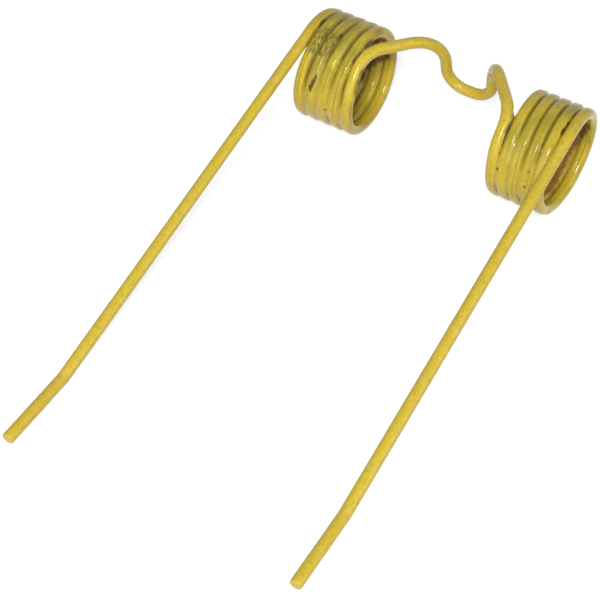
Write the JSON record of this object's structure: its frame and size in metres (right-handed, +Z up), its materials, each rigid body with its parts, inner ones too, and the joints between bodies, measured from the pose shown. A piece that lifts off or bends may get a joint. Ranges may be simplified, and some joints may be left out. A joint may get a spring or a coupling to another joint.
{
  "type": "spring tine",
  "caption": "Double coil spring tine of a hay pick-up: a straight tooth with a raised tip leaves the outer end of each coil, and a bent bridge with a bolt loop joins the coils",
  "frame": {"origin": "on the common axis of the two coils, which is the axis of the bar that they sit on, level with the middle of the bolt loop", "axes": "X along the coils' axis, -Y the way the teeth point, +Z up when the tine lies on a level floor on both coils and its longer tooth"},
  "size_m": [0.1278, 0.2421, 0.0475],
  "materials": {
    "yellow_paint": "worn ochre gloss paint"
  },
  "bodies": {
    "root": {"spring_tine": "yellow_paint"}
  },
  "joints": []
}
